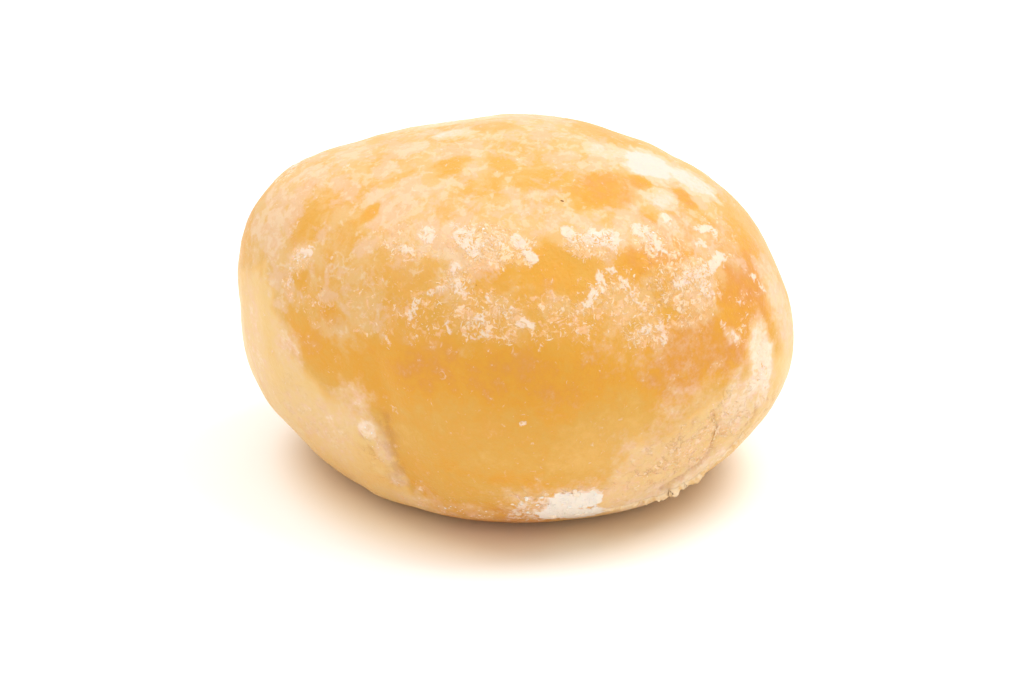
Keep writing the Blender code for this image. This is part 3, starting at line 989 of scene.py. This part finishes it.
def scattered(net, density, count, draw):
    """(points, normals) of count places on the crust, strewn in clusters by their density."""
    corners, crossed = net.points[net.faces], net.crossed()
    area = np.linalg.norm(crossed, axis=1)
    face_density = density[net.faces].mean(axis=1)
    weight = area * face_density**DENSITY_POWER
    chosen = draw.choice(len(weight), size=CANDIDATES * count, p=weight / weight.sum())
    shares = draw.random((len(chosen), 2))
    across, upward = shares[:, :1], shares[:, 1:]
    quad = corners[chosen]
    points = (
        quad[:, 0] * (1 - across) * (1 - upward) + quad[:, 1] * across * (1 - upward)
        + quad[:, 2] * across * upward + quad[:, 3] * (1 - across) * upward
    )
    normals = crossed[chosen] / area[chosen, None]
    low, high = box_within(2 * BOX_MARGIN)
    outside = ~((points > low) & (points < high)).all(axis=1)
    liking = layered_field(points, CLUSTER_SCALE, 3, 6.0) + CLUSTER_DENSITY * face_density[chosen]
    liking = liking + CLUSTER_LOOSENESS * draw.standard_normal(len(points)) - OUT_OF_BOX * outside
    best = np.argsort(-liking)[:count]
    return points[best], normals[best]


def frames_on(normals, draw):
    """Two unit vectors along the surface at each normal, turned at random."""
    spare = np.where(np.abs(normals[:, 2:]) < 0.9, [[0.0, 0.0, 1.0]], [[1.0, 0.0, 0.0]])
    first = np.cross(spare, normals)
    first /= np.linalg.norm(first, axis=1, keepdims=True)
    second = np.cross(normals, first)
    turn = draw.uniform(0, 2 * math.pi, (len(normals), 1))
    return first * np.cos(turn) + second * np.sin(turn), second * np.cos(turn) - first * np.sin(turn)


def spread(points, along, across, ahead, aside):
    """A row of places for each point, these distances from it along its two vectors."""
    return points[:, None] + ahead[..., None] * along[:, None] + aside[..., None] * across[:, None]


def ring_of(count):
    """The numbers of the corners round a ring, and the number of the next corner after each."""
    here = np.arange(count)
    return here, (here + 1) % count


def new_piece(name, points, faces, amounts, smooth=True):
    """An object whose mesh holds these amounts at its points."""
    mesh = bpy.data.meshes.new(name)
    mesh.from_pydata(points.tolist(), [], faces)
    if smooth:
        mesh.shade_smooth()
    for amount, values in amounts.items():
        mesh.attributes.new(amount, "FLOAT", "POINT").data.foreach_set("value", values.astype(np.float32))
    return new_object(name, mesh)


def joined(name, corners, faces, tint, smooth=False):
    """One piece of many like solids: each one's corners, the faces that they share and each one's tint."""
    count, each = corners.shape[:2]
    all_faces = faces[None] + (np.arange(count) * each)[:, None, None]
    all_faces = all_faces.reshape(-1, faces.shape[1]).tolist()
    return new_piece(name, corners.reshape(-1, 3), all_faces, {"tint": np.repeat(tint, each)}, smooth)


def sugar_wisps(net, flecked):
    """Thin curled strips that lie on the crust, three-sided and pointed at both ends."""
    draw = np.random.default_rng(SEED)
    points, normals = scattered(net, flecked, WISP_COUNT, draw)
    along, across = frames_on(normals, draw)
    longer = draw.random(WISP_COUNT)[:, None] ** WISP_SHORTNESS
    length = WISP_LENGTH[0] + longer * (WISP_LENGTH[1] - WISP_LENGTH[0])
    row = np.linspace(-0.5, 0.5, WISP_ROWS)
    bend = draw.uniform(-WISP_BEND, WISP_BEND, (WISP_COUNT, 1))
    turned = bend * row
    # Its middle line is close to an arc.
    ahead = length * row * np.sinc(turned / math.pi)
    aside = length * row**2 * bend / 2 * (1 - turned**2 / 12)
    middle = spread(points, along, across, ahead, aside)
    pointed = np.sqrt(np.clip(1.02 - (2 * row) ** 2, 0, 1))
    fullness = pointed * draw.uniform(*WISP_FULLNESS, (WISP_COUNT, WISP_ROWS))
    half = fullness * draw.uniform(*WISP_WIDTH, (WISP_COUNT, 1)) / 2
    height = fullness * draw.uniform(*WISP_HEIGHT, (WISP_COUNT, 1))
    sideways = half[..., None] * spread(0 * points, along, across, -np.sin(turned), np.cos(turned))
    sunk = middle - WISP_SUNK * normals[:, None]
    top = middle + height[..., None] * normals[:, None]
    corners = np.stack((sunk + sideways, sunk - sideways, top), axis=2)
    here, after = ring_of(3)
    band = [np.stack((here, after, after + 3), axis=1), np.stack((here, after + 3, here + 3), axis=1)]
    faces = [part + 3 * step for step in range(WISP_ROWS - 1) for part in band]
    ends = [here[None, ::-1], here[None] + 3 * (WISP_ROWS - 1)]
    faces = np.concatenate(faces + ends)[:, ::-1]
    tint = draw.random(WISP_COUNT) ** WISP_DARKNESS
    return joined("sugar_wisps", corners.reshape(WISP_COUNT, -1, 3), faces, tint)


def sugar_grains(net, flecked):
    """Tiny grains with an uneven rim."""
    draw = np.random.default_rng(SEED + 1)
    points, normals = scattered(net, flecked, GRAIN_COUNT, draw)
    along, across = frames_on(normals, draw)
    size = draw.uniform(*GRAIN_SIZE, (GRAIN_COUNT, 1))
    here, after = ring_of(GRAIN_RIM)
    moved = draw.uniform(-GRAIN_TURN, GRAIN_TURN, (GRAIN_COUNT, GRAIN_RIM))
    angle = 2 * math.pi * (here + moved) / GRAIN_RIM
    reach = draw.uniform(*GRAIN_REACH, (GRAIN_COUNT, GRAIN_RIM)) * size / 2
    ring = spread(points, along, across, reach * np.cos(angle), reach * np.sin(angle))
    thickness = GRAIN_THICKNESS * size * normals
    tips = np.stack((points + thickness, points - thickness), axis=1)
    upper = np.stack((here, after, np.full(GRAIN_RIM, GRAIN_RIM)), axis=1)
    lower = np.stack((after, here, np.full(GRAIN_RIM, GRAIN_RIM + 1)), axis=1)
    faces = np.concatenate((upper, lower))
    return joined("sugar_grains", np.concatenate((ring, tips), axis=1), faces, draw.random(GRAIN_COUNT))


def nearest_on(tree, points):
    """(points, normals) of the surface nearest to the points."""
    found = [tree.find_nearest(Vector(point))[:2] for point in points]
    return np.array([row[0] for row in found]), np.array([row[1] for row in found])


def lumps(name, tree, middles, radii, slimness, draw):
    """One piece of uneven lumps, partly sunk in the crust."""
    form = bmesh.new()
    bmesh.ops.create_icosphere(form, subdivisions=2, radius=1.0)
    ball = np.array([vertex.co[:] for vertex in form.verts])
    faces = corner_numbers(form.faces)
    form.free()
    points, normals = nearest_on(tree, middles)
    points = points - normals * (LUMP_SUNK * radii * LUMP_FLATNESS)[:, None]
    along, across = frames_on(normals, draw)
    slim = draw.uniform(*slimness, (len(radii), 1))
    rough = 1 + LUMP_ROUGHNESS * np.array([
        [noise.noise(Vector(corner * LUMP_DETAIL) + Vector((number, 0, 0))) for corner in ball]
        for number in range(len(radii))
    ])
    shape = ball[None] * rough[..., None] * radii[:, None, None]
    corners = spread(points, along, slim * across, shape[..., 0], shape[..., 1])
    corners = corners + LUMP_FLATNESS * shape[..., 2:] * normals[:, None]
    corners[..., 2] = np.maximum(corners[..., 2], FOOT_CLEARANCE)
    return joined(name, corners, faces, draw.random(len(radii)), smooth=True)


def dark_specks(crust, tree):
    """A few tiny crumbs of burnt dough."""
    draw = np.random.default_rng(SEED + 4)
    found = [crust.seen_at(pixel)[0] for pixel in SPECKS] + [crust.at(place)[0] for place in BACK_SPECKS]
    radii = np.resize(SPECK_RADII, len(found))
    return lumps("dark_specks", tree, np.array(found), radii, SPECK_SLIMNESS, draw)


def sugar_lumps(crust, tree):
    """Small uneven lumps in the beds of caked sugar."""
    draw = np.random.default_rng(SEED + 2)
    middles, radii = [], []
    for found, half_width, half_height, count, least, most, *turn in crust.spots(LUMP_BEDS, BACK_LUMP_BEDS):
        middle, normal = found
        along, upward = turned_frame(normal, *turn or (0,))
        angle, out = draw.uniform(0, 2 * math.pi, count), np.sqrt(draw.random(count))
        offset = (half_width * MM * out * np.cos(angle))[:, None] * along
        offset = offset + (half_height * MM * out * np.sin(angle))[:, None] * upward
        middles.append(np.array(middle) + offset)
        radii.append(MM * (least + (most - least) * draw.random(count) ** 2))
    return lumps("sugar_lumps", tree, np.concatenate(middles), np.concatenate(radii), LUMP_SLIMNESS, draw)


def frill_rings(line, length, tree):
    """The rings of corners round one frill, one for each step along its line, and each corner's tint."""
    runs = np.cumsum([0.0] + [np.linalg.norm(end - start) for start, end in zip(line, line[1:])])
    places = np.arange(0.0, runs[-1], FRILL_STEP)
    roots = np.stack([np.interp(places, runs, column) for column in line.T], axis=1)
    roots, normals = nearest_on(tree, wandering(roots))
    even = np.ones(FRILL_SMOOTHED) / FRILL_SMOOTHED
    padded = np.pad(normals.T, ((0, 0), (FRILL_SMOOTHED // 2,) * 2), mode="edge")
    normals = np.stack([np.convolve(column, even, "valid") for column in padded], axis=1)
    aside = np.cross(np.gradient(roots, axis=0), normals)
    if aside[:, 2].sum() > 0:  # it must hang towards the table
        roots, normals, aside = roots[::-1], normals[::-1], -aside[::-1]
    aside = (aside / np.linalg.norm(aside, axis=1, keepdims=True))[:, None]
    normals = normals[:, None]
    ends = soft(places / FRILL_END) * soft((places[-1] - places) / FRILL_END)
    torn = FRILL_REACH + FRILL_RAGGEDNESS * layered_field(roots, FRILL_TEARS, 3, 4.0)
    reach = length * MM * ends * np.clip(torn, *FRILL_LIMITS)
    rise = np.radians(FRILL_RISE + FRILL_FLUTTER * field(roots, 2 * MM, 6.0))[:, None, None]
    row = np.linspace(0, 1, FRILL_ROWS)[None, :, None]
    outward = np.cos(rise) * aside + np.sin(rise) * normals
    upward = np.cos(rise) * normals - np.sin(rise) * aside
    sheet = roots[:, None] + row * reach[:, None, None] * outward - FRILL_SUNK * normals
    half = (FRILL_THICKNESS[0] + (FRILL_THICKNESS[1] - FRILL_THICKNESS[0]) * row) / 2 * upward
    rings = np.concatenate((sheet + half, (sheet - half)[:, ::-1]), axis=1)
    mottle = field(roots, 0.8 * MM, 8.0)[:, None]
    tint = FRILL_TINT - FRILL_DARKER * row[0, :, 0] + FRILL_MOTTLE * mottle
    return rings, np.concatenate((tint, tint[:, ::-1]), axis=1)


def skin_frills(crust, tree):
    """Ragged edges of torn skin that stand off the crust along its folds and its lower edge."""
    each = 2 * FRILL_ROWS
    here, after = ring_of(each)
    band = np.stack((here, after, after + each, here + each), axis=1)  # the faces from one ring to the next
    corners, tints, faces = [], [], []
    for line, length in crust.lines(FRILL_LINES, BACK_FRILL_LINES):
        rings, tint = frill_rings(line, length, tree)
        first = sum(len(part) for part in corners)
        last = first + (len(rings) - 1) * each
        for start in range(first, last, each):
            faces += (start + band).tolist()
        faces += [(first + here[::-1]).tolist(), (last + here).tolist()]
        corners.append(rings.reshape(-1, 3))
        tints.append(tint.ravel())
    corners = np.concatenate(corners)
    corners[:, 2] = np.maximum(corners[:, 2], FOOT_CLEARANCE)
    return new_piece("skin_frills", corners, faces, {"tint": np.concatenate(tints)})


# ---- The stage

WORLD_STRENGTH = 0.95
SOFTBOX_SIZE = 0.5
SOFTBOXES = {  # place and watts
    "softbox_right": ((0.4, 0.1, 0.75), 3.6),
    "softbox_left": ((-0.4, 0.1, 0.75), 1.9),
}
FLOOR_REACH = 2.0
FLOOR_PAINTED_SHADOW = (0.90, 0.77, 0.58, 1.0)  # painted shadow: warm brown floor under and round the beignet, where its contact shadow falls
FLOOR_FAR = (1.0, 0.99, 0.97, 1.0)  # it shows white where the light falls freely
PAINTED_SHADOW_FADE = (30 * MM, 45 * MM)  # distances from the middle between which the painted shadow fades into the white floor


def make_stage():
    form = bmesh.new()
    bmesh.ops.create_grid(form, x_segments=1, y_segments=1, size=FLOOR_REACH)
    floor_mesh = bpy.data.meshes.new("floor")
    form.to_mesh(floor_mesh)
    form.free()
    floor = new_object("floor", floor_mesh)
    white = Shading("floor")
    away = white.node("VectorMath")
    away.operation = "LENGTH"
    white.feed(away.inputs[0], white.place)
    # The floor's colour holds a painted shadow: warm brown round the middle, fading to white further out.
    colour = white.mix(white.step(away.outputs["Value"], *PAINTED_SHADOW_FADE), FLOOR_PAINTED_SHADOW, FLOOR_FAR)
    white.fill(white.shader, Base_Color=colour, Roughness=0.9, Specular_IOR_Level=0.0)
    floor_mesh.materials.append(white.material)

    world = bpy.data.worlds.new("studio")
    world.use_nodes = True
    background = world.node_tree.nodes["Background"]
    background.inputs["Color"].default_value = (1.0, 1.0, 1.0, 1)
    background.inputs["Strength"].default_value = WORLD_STRENGTH
    bpy.context.scene.world = world

    for name, (place, watts) in SOFTBOXES.items():
        lamp = bpy.data.lights.new(name, "AREA")
        lamp.shape = "DISK"
        lamp.size = SOFTBOX_SIZE
        lamp.energy = watts
        softbox = new_object(name, lamp)
        softbox.location = place
        look_at(softbox, VIEWED_MIDDLE)
    bpy.context.scene.view_settings.view_transform = "Standard"


# ---- Build


def dress(piece, material):
    piece.data.materials.append(material)
    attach(piece, "root")


def build():
    camera = make_camera()
    net = Net(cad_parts["beignet"].data)
    net.smooth(SMOOTHING_ROUNDS)
    net.points[:, 2] = np.maximum(net.points[:, 2], FOOT_CLEARANCE)
    crust = Crust(net, camera)
    creases = [(line, half * MM, depth * MM) for line, half, depth in crust.lines(CREASES, BACK_CREASES)]
    amounts = {
        "fried": fried_amount(crust),
        "filmed": filmed_amount(crust),
        "powdered": covered(crust, POWDERED, BACK_POWDERED),
        "flecked": covered(crust, FLECKED, BACK_FLECKED),
        "caked": streaked(crust, CAKED, BACK_CAKED),
        "crinkled": covered(crust, CRINKLED, BACK_CRINKLED),
        "creased_and_shaded": creased_and_shaded_amount(crust, creases),
    }
    raise_relief(net, crust, creases, amounts["caked"], amounts["crinkled"])
    piece = new_piece("crust", net.points, net.faces.tolist(), amounts)
    dress(piece, crust_material())
    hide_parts("beignet")

    tree = net.tree()
    loose = flake_material("loose_sugar", *LOOSE_SUGAR)
    dress(sugar_wisps(net, amounts["flecked"]), loose)
    dress(sugar_grains(net, amounts["flecked"]), loose)
    dress(sugar_lumps(crust, tree), flake_material("caked_sugar", *CAKED_SUGAR))
    dress(dark_specks(crust, tree), flake_material("burnt_dough", *BURNT_DOUGH))
    dress(skin_frills(crust, tree), flake_material("skin", *TORN_SKIN))
    make_stage()


build()
